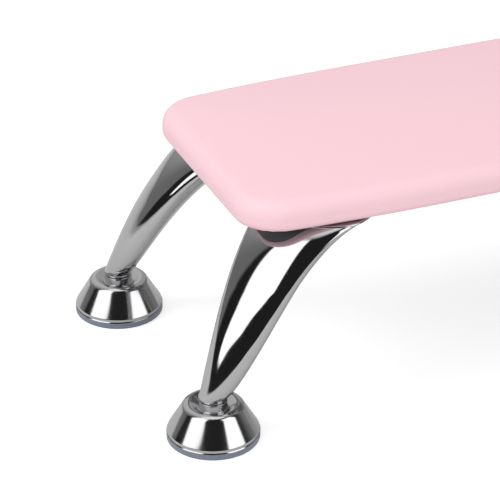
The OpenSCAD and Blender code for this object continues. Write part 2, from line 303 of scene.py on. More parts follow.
def leather_finish(pad):
    """Smooth synthetic leather: fine pores and creases, a soft sheen."""
    finish = Finish("pink_leather")
    where = finish.place()
    pores = finish.cells(where, 1500)
    creases = finish.cells(finish.place((1, 1.3, 1)), 620, "DISTANCE_TO_EDGE")
    cloudy = finish.noise(where, 9, 2)
    fine = finish.noise(where, 900, 2)
    grain = finish.ramp(creases, 0, 0.09) * 0.6 + pores * 0.4
    tone = finish.blend(cloudy, paint(pad.pink, 0.985), paint(pad.pink, 1.0))
    # Painted shade: the lines of the grain's creases are painted a little darker pink
    tone = finish.blend(finish.ramp(creases, 0.05, 0) * 0.25, tone, paint(pad.pink, 0.9))
    soft = finish.relief(cloudy, 0.5 * MM)
    return finish.shader({
        "Base Color": tone,
        "Roughness": finish.between(fine * 0.5 + grain * 0.5, 0.46, 0.6),
        "Specular IOR Level": 0.25,
        "Sheen Weight": 0.05,
        "Sheen Roughness": 0.5,
        "Normal": finish.relief(grain, 0.03 * MM, soft),
    })


def foam_finish(pad):
    finish = Finish("open_cell_foam")
    where = finish.place()
    cells = finish.cells(where, 700)
    mottle = finish.noise(where, 60)
    return finish.shader({
        "Base Color": finish.blend(mottle, paint(pad.foam, 0.86), paint(pad.foam)),
        "Roughness": finish.between(cells, 0.85, 1),
        "Normal": finish.relief(cells, 0.4 * MM),
    })


def dust_cloth_finish(underside):
    """Grey non-woven cloth: matted fibres with a grid of small bonded dots."""
    finish = Finish("dust_cloth")
    where = finish.place()
    fibres = finish.noise(finish.place((1, 0.25, 1)), 1600, 4, 0.7)
    crossing = finish.noise(finish.place((0.25, 1, 1)), 1600, 4, 0.7)
    across, along = [finish.wire("TexWave", "Fac", {"bands_direction": way, "wave_type": "BANDS"},
                                 {"Vector": finish.place((1, 1, 0)), "Scale": 170}) for way in "XY"]
    dots = finish.ramp(across * along, 0.55, 0.8)
    mat = finish.noise(where, 120) * 0.5 + fibres.largest(crossing) * 0.5
    return finish.shader({
        "Base Color": finish.blend(mat, paint(underside.grey, 0.6), paint(underside.grey, 1.5)),
        "Roughness": finish.between(mat, 0.8, 1),
        "Sheen Weight": 0.3,
        "Normal": finish.relief(mat - dots * 0.8, 0.12 * MM),
    })


def plywood_finish():
    """Plies on the edges, a quiet grain on the faces."""
    finish = Finish("birch_plywood")
    where = finish.place((1, 9, 1))
    grain = finish.noise(where, 45, 5, 0.6)
    figure = finish.noise(finish.place((1, 4, 1)), 14, 3)
    height = finish.wire("SeparateXYZ", "Z", {}, {"Vector": finish.place()})
    ply = 1.5 * MM
    cross = finish.wire("Math", 0, {"operation": "PINGPONG"}, {0: height, 1: ply})
    crossed = finish.ramp(cross, ply * 0.45, ply * 0.55)
    pale = finish.blend(grain, (0.52, 0.34, 0.18, 1), (0.72, 0.53, 0.31, 1))
    dark = finish.blend(figure, (0.36, 0.21, 0.1, 1), (0.55, 0.36, 0.19, 1))
    return finish.shader({
        "Base Color": finish.blend(crossed * 0.5, pale, dark),
        "Roughness": finish.between(grain, 0.6, 0.8),
        "Normal": finish.relief(grain, 0.08 * MM),
    })


def chrome_finish(horn, name, ripple, scale, rough):
    """Mirror chrome over a hand-polished casting: faint ripples and polishing marks."""
    finish = Finish(name)
    where = finish.place()
    swell = finish.noise(where, scale, 1)
    marks = finish.noise(finish.place((1, 1, 0.2)), 900, 4, 0.7)
    film = finish.noise(where, 35, 3)
    return finish.shader({
        "Base Color": finish.blend(film, paint(horn.tint, 0.93), paint(horn.tint)),
        "Metallic": 1.0,
        "Roughness": finish.between(marks * 0.5 + film * 0.5, rough, rough + 0.06),
        "Normal": finish.relief(swell, ripple),
    })


def zinc_finish(name, low=0.42, high=0.62):
    """Zinc-plated steel with crystalline cloudiness."""
    finish = Finish(name)
    where = finish.place()
    spangle = finish.cells(where, 420, output="Color")
    cloud = finish.noise(where, 150, 4)
    grey = finish.wire("RGBToBW", "Val", {}, {"Color": spangle})
    mix = grey * 0.35 + cloud * 0.65
    return finish.shader({
        "Base Color": finish.blend(mix, (low, low, low * 1.05, 1), (high, high, high * 1.02, 1)),
        "Metallic": 1.0,
        "Roughness": finish.between(mix, 0.22, 0.45),
        "Normal": finish.relief(cloud, 0.02 * MM),
    })


def felt_finish(foot):
    """Pressed wool felt: matted fibres in two shades."""
    finish = Finish("blue_grey_felt")
    where = finish.place()
    matting = finish.noise(where, 700, 6, 0.75)
    tufts = finish.noise(where, 260, 3)
    fibre = finish.wire("TexWave", "Fac", {"wave_type": "BANDS", "bands_direction": "DIAGONAL"},
                        {"Vector": where, "Scale": 160, "Distortion": 22, "Detail": 3, "Detail Scale": 3})
    mix = matting * 0.6 + fibre * 0.4
    return finish.shader({
        "Base Color": finish.blend(mix, paint(foot.felt, 0.72), paint(foot.felt, 1.22)),
        "Roughness": finish.between(tufts, 0.9, 1),
        "Sheen Weight": 0.4,
        "Normal": finish.relief(mix + tufts * 0.5, 0.25 * MM),
    })


def make_piece(name, points, faces, material, body, sharp=40):
    """An object of one mesh in the part's own frame, smooth but for edges over sharp degrees."""
    mesh = bpy.data.meshes.new(name)
    mesh.from_pydata([tuple(p) for p in points], [], faces)
    mesh.validate()
    work = bmesh.new()
    work.from_mesh(mesh)
    bmesh.ops.remove_doubles(work, verts=work.verts, dist=0.001 * MM)
    bmesh.ops.recalc_face_normals(work, faces=work.faces)
    work.to_mesh(mesh)
    work.free()
    mesh.shade_smooth()
    mesh.set_sharp_from_angle(angle=math.radians(sharp))
    mesh.materials.append(material)
    piece = bpy.data.objects.new(name, mesh)
    bpy.context.scene.collection.objects.link(piece)
    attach(piece, body)
    return piece


def loft(rings, first_cap=True, last_cap=True, joined=False):
    """Points and faces through rings of as many points each; joined runs the last ring into the first."""
    count = len(rings[0])
    points = [p for ring in rings for p in ring]
    faces = []
    for i in range(len(rings) if joined else len(rings) - 1):
        here, there = i * count, (i + 1) % len(rings) * count
        for k in range(count):
            after = (k + 1) % count
            faces.append((here + k, here + after, there + after, there + k))
    if first_cap and not joined:
        faces.append(tuple(reversed(range(count))))
    if last_cap and not joined:
        faces.append(tuple(range(len(points) - count, len(points))))
    return points, faces


def polar(radius, turn, height):
    return Vector((radius * math.cos(turn), radius * math.sin(turn), height))


def circle(radius, height, count):
    return [polar(radius, 2 * math.pi * k / count, height) for k in range(count)]


def quarter_turn(steps, first=0):
    """The angles of a quarter turn in even steps."""
    return [math.pi / 2 * k / steps for k in range(first, steps + 1)]


def lathe(profile, count):
    """A turned solid from a closed profile of (radius, height)."""
    return loft([circle(radius, height, count) for radius, height in profile], joined=True)


def rounded(profile, steps=5):
    """A closed profile of (radius, height) from one of (radius, height, rounding)."""
    # The most of a side that the rounding at one of its ends takes
    most = 0.45
    result = []
    total = len(profile)
    for i, (radius, height, rounding) in enumerate(profile):
        here = Vector((radius, height))
        before = Vector(profile[i - 1][:2]) - here
        after = Vector(profile[(i + 1) % total][:2]) - here
        if not rounding:
            result.append((radius, height))
            continue
        half = before.angle(after) / 2
        reach = min(rounding / math.tan(half), before.length * most, after.length * most)
        start, end = here + before.normalized() * reach, here + after.normalized() * reach
        for k in range(steps + 1):
            t = k / steps
            bend = start * (1 - t) ** 2 + here * 2 * t * (1 - t) + end * t ** 2
            result.append((bend.x, bend.y))
    return result


def at_corner(points, corner):
    """Points of a leg's own frame, with X along the leg, put at a corner of the rest."""
    across, along = CORNERS[corner]
    splay = bpy.context.scene.hand_rest.horn.splay
    turn = math.atan2(-along * math.sin(splay), -across * math.cos(splay))
    place = Matrix.Translation((across * FOOT_X, along * FOOT_Y, 0)) @ Matrix.Rotation(turn, 4, "Z")
    return [place @ Vector(p) for p in points]


def bezier(points, t):
    """A cubic curve's point at t, for numbers or vectors."""
    a, b, c, d = points
    return a * (1 - t) ** 3 + b * 3 * t * (1 - t) ** 2 + c * 3 * t * t * (1 - t) + d * t ** 3


class PadShape:
    """Outline and section of the pad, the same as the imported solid's but finer."""

    # Points on a quarter of the outline: its end, corner, drawn-in part and straight part
    END_POINTS, CORNER_POINTS, DRAWN_POINTS, STRAIGHT_POINTS = 10, 14, 16, 14
    # Steps of the section: the hem, the lower edge, the side, the upper edge and the top
    HEM_STEPS, LOW_STEPS, SIDE_STEPS, TOP_STEPS, CROWN_STEPS = 5, 8, 3, 10, 24
    # The upper edge ends here, where the crown's slope takes over
    TOP_END = math.radians(84)
    CROWN_POWER = 2.2

    def __init__(self, pad):
        self.pad = pad
        self.half = Vector((pad.length / 2, pad.width / 2))
        self.edge_z = PAD_HIGH.z - pad.crown

    def draw_in(self, x):
        reach = max(0, 1 - (self.half.x - abs(x)) / self.pad.draw_length)
        return 1 - self.pad.end_draw / self.half.y * reach ** 2

    def rim(self, inside):
        """The outline a distance inside the pad's edge, as (x, y) from the middle of the right end."""
        pad = self.pad
        radius = pad.corner - inside
        centre = self.half - Vector((pad.corner, pad.corner))
        drawn = self.half.x - pad.draw_length
        quarter = [(self.half.x - inside, centre.y * k / self.END_POINTS) for k in range(1, self.END_POINTS)]
        for turn in quarter_turn(self.CORNER_POINTS):
            quarter.append((centre.x + radius * math.cos(turn), centre.y + radius * math.sin(turn)))
        for k in range(1, self.DRAWN_POINTS + 1):
            quarter.append((centre.x + (drawn - centre.x) * k / self.DRAWN_POINTS, self.half.y - inside))
        for k in range(1, self.STRAIGHT_POINTS):
            quarter.append((drawn * (1 - k / self.STRAIGHT_POINTS), self.half.y - inside))
        quarter = [(x, y * self.draw_in(x)) for x, y in quarter]
        upper = [(self.half.x - inside, 0), *quarter, (0, self.half.y - inside)]
        upper += [(-x, y) for x, y in reversed(quarter)]
        return upper + [(-x, -y) for x, y in upper]

    def ring(self, inside, height):
        return [Vector((x, y, height)) for x, y in self.rim(inside)]

    def drawn_together(self, ring, t, height):
        """A ring's points moved towards the pad's middle line by a share t."""
        spine = self.half.x - self.half.y
        return [Vector((p.x + (max(-spine, min(spine, p.x)) - p.x) * t, p.y * (1 - t), height)) for p in ring]

    def skin(self, layer, start=None):
        """Rings from the underside round the edge to the middle line, a layer below the surface."""
        pad = self.pad
        rings = []
        low, high = pad.low_roll - layer, pad.top_roll - layer
        if start is not None:
            for k in range(self.HEM_STEPS):
                inside = start + (pad.low_roll - start) * k / self.HEM_STEPS
                rings.append(self.ring(inside, PAD_LOW.z + layer))
        for k in range(self.LOW_STEPS + 1):
            turn = math.pi / 2 * (k / self.LOW_STEPS - 1)
            rings.append(self.ring(pad.low_roll - low * math.cos(turn),
                                   PAD_LOW.z + pad.low_roll + low * math.sin(turn)))
        side_low, side_high = PAD_LOW.z + pad.low_roll, self.edge_z - pad.top_roll
        for k in range(1, self.SIDE_STEPS):
            rings.append(self.ring(layer, side_low + (side_high - side_low) * k / self.SIDE_STEPS))
        for k in range(self.TOP_STEPS + 1):
            turn = self.TOP_END * k / self.TOP_STEPS
            rings.append(self.ring(pad.top_roll - high * math.cos(turn),
                                   self.edge_z - pad.top_roll + high * math.sin(turn)))
        edge = rings[-1]
        for k in range(1, self.CROWN_STEPS + 1):
            t = k / self.CROWN_STEPS
            rise = pad.crown * (1 - (1 - t) ** self.CROWN_POWER)
            rings.append(self.drawn_together(edge, t, self.edge_z - layer + rise))
        return rings


class HANDREST_OT_pad(bpy.types.Operator):
    """Upholsters the pad: the leather cover and the foam under it"""

    bl_idname = "hand_rest.pad"
    bl_label = "Pad"

    # Pleats in a full turn
    PLEATS = 28

    def execute(self, context):
        pad = context.scene.hand_rest.pad
        shape = PadShape(pad)
        points, faces = loft(shape.skin(0, pad.hem), first_cap=False, last_cap=False)
        cover = make_piece("leather_cover", points, faces, leather_finish(pad), "rest", sharp=80)
        self.pleat(cover, shape)
        thickness = cover.modifiers.new("Leather", "SOLIDIFY")
        thickness.thickness = pad.leather
        thickness.offset = -1
        thickness.use_even_offset = True
        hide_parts("pad_cover")

        layer = pad.leather + pad.soft_gap
        pocket = pad.length / 2 - BOARD_HIGH.x - pad.soft_gap
        rings = [shape.ring(pocket, BOARD_HIGH.z + pad.soft_gap), shape.ring(pocket, FOAM_LOW.z)]
        points, faces = loft(rings + shape.skin(layer), last_cap=False)
        foam = make_piece("foam_cap", points, faces, foam_finish(pad), "rest", sharp=60)
        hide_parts("pad_foam")
        return {"FINISHED"}

    def pleat(self, cover, shape):
        """Folds of the hem where it turns a corner, deepest under the pad and gone at its side."""
        pad = shape.pad
        centre = Vector((shape.half.x - pad.corner, shape.half.y - pad.corner))
        for vertex in cover.data.vertices:
            away = Vector((abs(vertex.co.x), abs(vertex.co.y))) - centre
            if away.x <= 0 or away.y <= 0 or vertex.co.z > PAD_LOW.z + pad.low_roll:
                continue
            turn = math.atan2(away.y, away.x)
            edge = math.sin(2 * turn) ** 0.5
            rise = 1 - (vertex.co.z - PAD_LOW.z) / pad.low_roll
            vertex.co.z += pad.pleat * edge * rise * (0.5 + 0.5 * math.cos(turn * self.PLEATS))


class HANDREST_OT_underside(bpy.types.Operator):
    """Covers the underside with a dust cloth and staples it down"""

    bl_idname = "hand_rest.underside"
    bl_label = "Underside"

    # How far the cloth sinks in at the edge of its hem
    HEM_STEP = 0.12 * MM
    STAPLE_SEED = 7
    # The most that a staple is turned off its row
    ASKEW = 0.06
    # Radius of a staple's bends, in wire widths
    BEND = 1.2
    BEND_STEPS = 4
    # Section of the wire, in half widths
    WIRE_SECTION = ((-0.8, -1), (0.8, -1), (1, -0.8), (1, 0.8), (0.8, 1), (-0.8, 1), (-1, 0.8), (-1, -0.8))

    def execute(self, context):
        rest = context.scene.hand_rest
        under, shape = rest.underside, PadShape(rest.pad)
        margin = rest.pad.length / 2 - CLOTH_HIGH.x
        rings = [shape.ring(margin, CLOTH_HIGH.z)]
        # Rounded at its edge, with a step where its turned-under edge ends
        for inside in (0, 0.3 * MM, 1 * MM, under.hem, under.hem + 0.8 * MM, under.hem + 6 * MM):
            sunk = self.HEM_STEP if inside > under.hem else 0
            rings.append(shape.ring(margin + inside, CLOTH_LOW.z + sunk))
        points, faces = loft(rings)
        material = dust_cloth_finish(under)
        cloth = make_piece("dust_cloth", points, faces, material, "rest", sharp=30)
        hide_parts("underside_cloth")
        self.staples(rest, under, shape)
        return {"FINISHED"}

    def staples(self, rest, under, shape):
        """Staples in rows along the four sides, each a little askew."""
        chance = random.Random(self.STAPLE_SEED)
        horn = rest.horn
        row = (FOOT_X - (horn.root_near + horn.root_length) * math.cos(horn.splay) - horn.root_width / 2
               - under.staple_width)
        end_row = shape.half.y - rest.pad.corner - under.staple_width / 2
        places = []
        for x in self.row_places(row, under.pitch):
            for side in (-1, 1):
                places.append((x, side * (shape.half.y * shape.draw_in(x) - under.margin), 0))
        for y in self.row_places(end_row, under.pitch):
            for side in (-1, 1):
                places.append((side * (shape.half.x - under.margin), y, math.pi / 2))
        points, faces = [], []
        for x, y, turn in places:
            made, sides = self.staple(under)
            turned = Matrix.Rotation(turn + chance.uniform(-self.ASKEW, self.ASKEW), 4, "Z")
            place = Matrix.Translation((x, y, CLOTH_LOW.z)) @ turned
            faces += [tuple(i + len(points) for i in side) for side in sides]
            points += [place @ p for p in made]
        wire = zinc_finish("staple_wire")
        piece = make_piece("staples", points, faces, wire, "rest", sharp=50)
        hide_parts("cloth_staples")

    def row_places(self, half, pitch):
        """Places a pitch apart along a row, centred, none further out than half the row."""
        count = math.floor(2 * half / pitch)
        return [(k - count / 2) * pitch for k in range(count + 1)]

    def staple(self, under):
        """One staple: a flattened wire bent down at both ends, its crown along X under the cloth."""
        half, wire, bend = under.staple_width / 2 - under.wire / 2, under.wire, under.wire * self.BEND
        level, top = -under.wire / 2, under.staple_leg
        path = [Vector((-half, 0, top))]
        for side in (-1, 1):
            arc = []
            for turn in quarter_turn(self.BEND_STEPS):
                across = half - bend + bend * math.cos(turn)
                arc.append(Vector((side * across, 0, level + bend - bend * math.sin(turn))))
            path += arc if side == -1 else list(reversed(arc))
        path.append(Vector((half, 0, top)))
        rings = []
        for i, here in enumerate(path):
            before, after = path[max(0, i - 1)], path[min(len(path) - 1, i + 1)]
            ahead = (after - before).normalized()
            out = Vector((0, 1, 0))
            side = ahead.cross(out)
            rings.append([here + out * wire / 2 * a + side * wire / 2 * b for a, b in self.WIRE_SECTION])
        return loft(rings)


class HANDREST_OT_board(bpy.types.Operator):
    """Finishes the board inside the pad, its nuts and the studs that hold the legs"""

    bl_idname = "hand_rest.board"
    bl_label = "Board and studs"

    def execute(self, context):
        finish_node("pad_board", plywood_finish())
        stud, nut = zinc_finish("stud_zinc"), zinc_finish("nut_zinc", 0.5, 0.68)
        for corner in CORNERS:
            finish_node(f"mount_stud_{corner}", stud)
            finish_node(f"tee_nut_{corner}", nut)
        return {"FINISHED"}


def finish_node(name, material):
    """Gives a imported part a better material."""
    slots = NODES[name].material_slots
    for slot in slots:
        slot.material = material
    if not slots:
        NODES[name].data.materials.append(material)


class HANDREST_OT_horns(bpy.types.Operator):
    """Casts and polishes the four horn legs"""

    bl_idname = "hand_rest.horns"
    bl_label = "Horn legs"

    SIDES = 112
    STEPS = 96
    TIP_STEPS = 5
    SHOULDER_STEPS = 10
    # Bends of the two edges, as shares of the root's distance and of the rise, and of the width
    OUTER_BENDS = ((0, 0.25), (0.474, 0.852))
    INNER_BENDS = ((0.215, 0.306), (0.516, 1.02))
    WIDTH_BENDS = (0.61, 0.71)
    # Share of the run over which the round tip turns into the faceted section
    FACET_GROWTH = 0.5
    # Share of the run over which the facets twist
    TWIST_END = 0.6
    # Below 1 the bow is deepest nearer to the tip
    SWAY_POWER = 0.6

    def execute(self, context):
        horn = context.scene.hand_rest.horn
        chrome = chrome_finish(horn, "horn_chrome", ripple=0.35 * MM, scale=38, rough=0.03)
        points, faces = loft(self.rings(horn))
        for corner in CORNERS:
            placed = at_corner(points, corner)
            leg = make_piece(f"horn_{corner}", placed, faces, chrome, "rest", sharp=35)
            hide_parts(f"leg_{corner}")
        return {"FINISHED"}

    def rings(self, horn):
        """From the tip's bore over its collar and up the horn to the flat top under the pad."""
        tip, top = HORN_LOW.z, HORN_HIGH.z
        start = tip + horn.collar
        rise = top - horn.shoulder - start
        half, root_half = horn.tip / 2, horn.root_width / 2
        outer = self.edge(-half, horn.root_near, self.OUTER_BENDS, start, rise)
        inner = self.edge(half, horn.root_near + horn.root_length, self.INNER_BENDS, start, rise)
        width = [half, *[bend * root_half for bend in self.WIDTH_BENDS], root_half]
        spare, chamfer = 0.4 * MM, 0.5 * MM
        bore_end = BOLT_HIGH.z + spare
        turned = [(BORE_RADIUS * 0.2, bore_end), (BORE_RADIUS, bore_end), (BORE_RADIUS, tip + chamfer),
                  (BORE_RADIUS + chamfer, tip)]
        for turn in quarter_turn(self.TIP_STEPS):
            turned.append((half - horn.tip_edge * (1 - math.sin(turn)),
                           tip + horn.tip_edge * (1 - math.cos(turn))))
        turned.append((half, start - 0.3 * MM))
        rings = [circle(radius, height, self.SIDES) for radius, height in turned]
        for k in range(self.STEPS + 1):
            t = k / self.STEPS
            grown = min(1, t / self.FACET_GROWTH)
            facet = horn.facet * grown * grown * (3 - 2 * grown)
            turn = horn.facet_turn + horn.twist * max(0, 1 - t / self.TWIST_END)
            ring = self.oval(bezier(outer, t), bezier(inner, t), bezier(width, t), 0, facet, turn)
            bow = Vector((0, horn.sway * math.sin(math.pi * t ** self.SWAY_POWER), 0))
            rings.append([p - bow for p in ring])
        for turn in quarter_turn(self.SHOULDER_STEPS, 1):
            drawn = horn.shoulder * (1 - math.cos(turn))
            lift = Vector((0, horn.shoulder * math.sin(turn)))
            rings.append(self.oval(outer[3] + lift, inner[3] + lift, root_half, drawn, horn.facet,
                                   horn.facet_turn))
        return rings

    def edge(self, at_tip, at_root, bends, start, rise):
        """Control points of one edge of the horn, as (distance from the foot's axis, height)."""
        inner = [(along * at_root, start + up * rise) for along, up in bends]
        return [Vector(p) for p in ((at_tip, start), *inner, (at_root, start + rise))]

    def oval(self, outer, inner, half, drawn, facet, facet_turn):
        """A ring between the horn's two edges: an ellipse made flatter on three sides."""
        middle, arm = (outer + inner) / 2, (inner - outer) / 2
        arm = arm * (1 - drawn / arm.length)
        # Three shallow lobes, which leave the section as wide all round as before
        depth = facet / 8
        ring = []
        for k in range(self.SIDES):
            turn = 2 * math.pi * k / self.SIDES
            phase = 3 * (turn - math.pi - facet_turn)
            reach, slide = -depth * math.cos(phase), 3 * depth * math.sin(phase)
            along = math.cos(turn) * (1 + reach) - math.sin(turn) * slide
            across = math.sin(turn) * (1 + reach) + math.cos(turn) * slide
            ring.append(Vector((middle.x + arm.x * along, (half - drawn) * across, middle.y + arm.y * along)))
        return ring


class HANDREST_OT_feet(bpy.types.Operator):
    """Turns the four conical feet and lays a felt disc under each"""

    bl_idname = "hand_rest.feet"
    bl_label = "Feet and felts"

    SIDES = 160
    CREST_STEPS = 16
    # Roundings of the foot's edges
    NECK_FOOT, NECK_EDGE, BAND_CORNER = 0.5 * MM, 0.3 * MM, 1.4 * MM
    EDGE_CORNER, SMALL_CORNER, HOLLOW_CORNER = 0.12 * MM, 0.2 * MM, 0.8 * MM

    def execute(self, context):
        rest = context.scene.hand_rest
        chrome = chrome_finish(rest.horn, "foot_chrome", ripple=0.05 * MM, scale=60, rough=0.1)
        felt = felt_finish(rest.foot)
        cup, cup_faces = lathe(self.cup_profile(rest), self.SIDES)
        disc, disc_faces = lathe(self.felt_profile(), self.SIDES)
        for corner in CORNERS:
            body = f"foot_{corner}"
            placed = at_corner(cup, corner)
            piece = make_piece(f"cup_{corner}", placed, cup_faces, chrome, body, sharp=35)
            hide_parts(f"foot_cup_{corner}")
            placed = at_corner(disc, corner)
            piece = make_piece(f"felt_{corner}", placed, disc_faces, felt, body, sharp=60)
            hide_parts(f"foot_pad_{corner}")
        return {"FINISHED"}

    def cup_profile(self, rest):
        """Half section of the foot: neck, dish, crest, cone, band, edge and the hollow under them."""
        foot, neck = rest.foot, rest.horn.tip / 2
        low, top = CUP_LOW.z, CUP_HIGH.z
        crest_z = top - foot.neck_rise
        edge_r, edge_z = foot.diameter / 2 - foot.edge_lean, low + foot.edge
        cone_low, cone_z = edge_r - foot.band_lean, edge_z + foot.band
        taper = (cone_low - foot.cone_top / 2) / (crest_z - cone_z)
        tilt = math.atan(taper)
        crest_r = foot.cone_top / 2 - foot.crest * (1 - math.sin(tilt)) / math.cos(tilt)
        middle = Vector((crest_r, crest_z - foot.crest))
        crest_end = math.pi / 2 + foot.dish_slope
        dish_start = middle + foot.crest * Vector((math.cos(crest_end), math.sin(crest_end)))
        neck_foot = dish_start.y - (dish_start.x - neck) * math.tan(foot.dish_slope)
        plate_z = crest_z - foot.plate
        outside = [(neck, neck_foot, self.NECK_FOOT)]
        for k in range(self.CREST_STEPS + 1):
            turn = crest_end + (tilt - crest_end) * k / self.CREST_STEPS
            p = middle + foot.crest * Vector((math.cos(turn), math.sin(turn)))
            outside.append((p.x, p.y, 0))
        inside = [
            (cone_low, cone_z, self.BAND_CORNER),
            (edge_r, edge_z, self.EDGE_CORNER),
            (foot.diameter / 2, low, self.SMALL_CORNER),
            (cone_low + taper * (cone_z - low) - foot.wall, low, self.SMALL_CORNER),
            (foot.cone_top / 2 + taper * foot.plate - foot.wall, plate_z, self.HOLLOW_CORNER),
            (BORE_RADIUS, plate_z, self.SMALL_CORNER),
            (BORE_RADIUS, top, self.NECK_EDGE),
            (neck, top, self.NECK_EDGE),
        ]
        return rounded(outside + inside)

    def felt_profile(self):
        """Half section of the felt disc, its edge a little proud."""
        radius = (FELT_HIGH.x - FELT_LOW.x) / 2
        low, high = FELT_LOW.z, FELT_HIGH.z
        axis, proud = 0.01 * MM, 0.05 * MM
        return rounded([(axis, low, 0), (axis, high, 0), (radius, high, 0.3 * MM),
                        (radius + proud, (low + high) / 2, 0), (radius, low, 0.5 * MM)])


class HANDREST_OT_screws(bpy.types.Operator):
    """Cuts the threads of the four foot bolts and puts on their washers"""

    bl_idname = "hand_rest.screws"
    bl_label = "Foot bolts"

    SIDES = 48
    WASHER_SIDES = 96
    STEPS_PER_TURN = 10
    # Depth of a metric thread, as a share of its pitch
    THREAD_DEPTH = 0.61
    # The thread stands CREST high less FLANK for each pitch from its middle, kept between 0 and 1
    CREST, FLANK = 1.2, 2.4
    # Pitches over which the thread fades out at the bolt's tip and at its head
    TIP_FADE, HEAD_FADE = 0.8, 0.5

    def execute(self, context):
        foot = context.scene.hand_rest.foot
        bolt_zinc, washer_zinc = zinc_finish("bolt_zinc", 0.36, 0.52), zinc_finish("washer_zinc")
        bolt, bolt_faces = loft(self.bolt_rings(foot))
        washer, washer_faces = lathe(self.washer_profile(), self.WASHER_SIDES)
        for corner in CORNERS:
            body, placed = f"screw_{corner}", at_corner(bolt, corner)
            piece = make_piece(f"bolt_{corner}", placed, bolt_faces, bolt_zinc, body)
            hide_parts(f"foot_bolt_{corner}")
            placed = at_corner(washer, corner)
            piece = make_piece(f"washer_{corner}", placed, washer_faces, washer_zinc, body,
                               sharp=35)
            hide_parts(f"foot_washer_{corner}")
        return {"FINISHED"}

    def washer_profile(self):
        radius, low, high = (WASHER_HIGH.x - WASHER_LOW.x) / 2, WASHER_LOW.z, WASHER_HIGH.z
        sharp, stamped = 0.15 * MM, 0.25 * MM
        return rounded([(WASHER_HOLE, low, sharp), (WASHER_HOLE, high, sharp), (radius, high, stamped),
                        (radius, low, sharp)], 3)

    def bolt_rings(self, foot):
        """The chamfered hexagon head and the threaded shank."""
        flats, low, top = foot.head_flats / 2, BOLT_LOW.z, BOLT_HIGH.z
        seat = low + foot.head_height
        minor = BOLT_RADIUS - self.THREAD_DEPTH * foot.pitch
        chamfer = flats / math.cos(math.pi / 6)
        rings = []
        # Each ring's height, and the radius that cuts its corners off
        for height, limit in ((low, 0.3 * flats), (low, 0.97 * flats), (low + 0.35 * MM, flats * 1.08),
                              (low + 0.75 * MM, chamfer), (seat - 0.3 * MM, chamfer), (seat, flats * 1.1)):
            rings.append(self.hexagon(flats, limit, height))
        rings.append(circle(minor, seat, self.SIDES))
        turns = (top - seat) / foot.pitch
        steps = int(turns * self.STEPS_PER_TURN)
        for i in range(steps + 1):
            height = seat + (top - seat) * i / steps
            fade = min(1, (top - height) / (self.TIP_FADE * foot.pitch),
                       (height - seat) / (self.HEAD_FADE * foot.pitch))
            ring = []
            for k in range(self.SIDES):
                part = k / self.SIDES
                phase = (height / foot.pitch - part) % 1
                crest = max(0, min(1, self.CREST - self.FLANK * abs(phase - 0.5)))
                radius = minor + (BOLT_RADIUS - minor) * crest * fade
                ring.append(polar(radius, 2 * math.pi * part, height))
            rings.append(ring)
        return rings

    def hexagon(self, flats, limit, height):
        """A ring round the bolt's head, cut off at a largest radius."""
        sixth, ring = math.pi / 6, []
        for k in range(self.SIDES):
            turn = 2 * math.pi * k / self.SIDES
            within = (turn + sixth) % (2 * sixth) - sixth
            ring.append(polar(min(limit, flats / math.cos(within)), turn + sixth, height))
        return ring


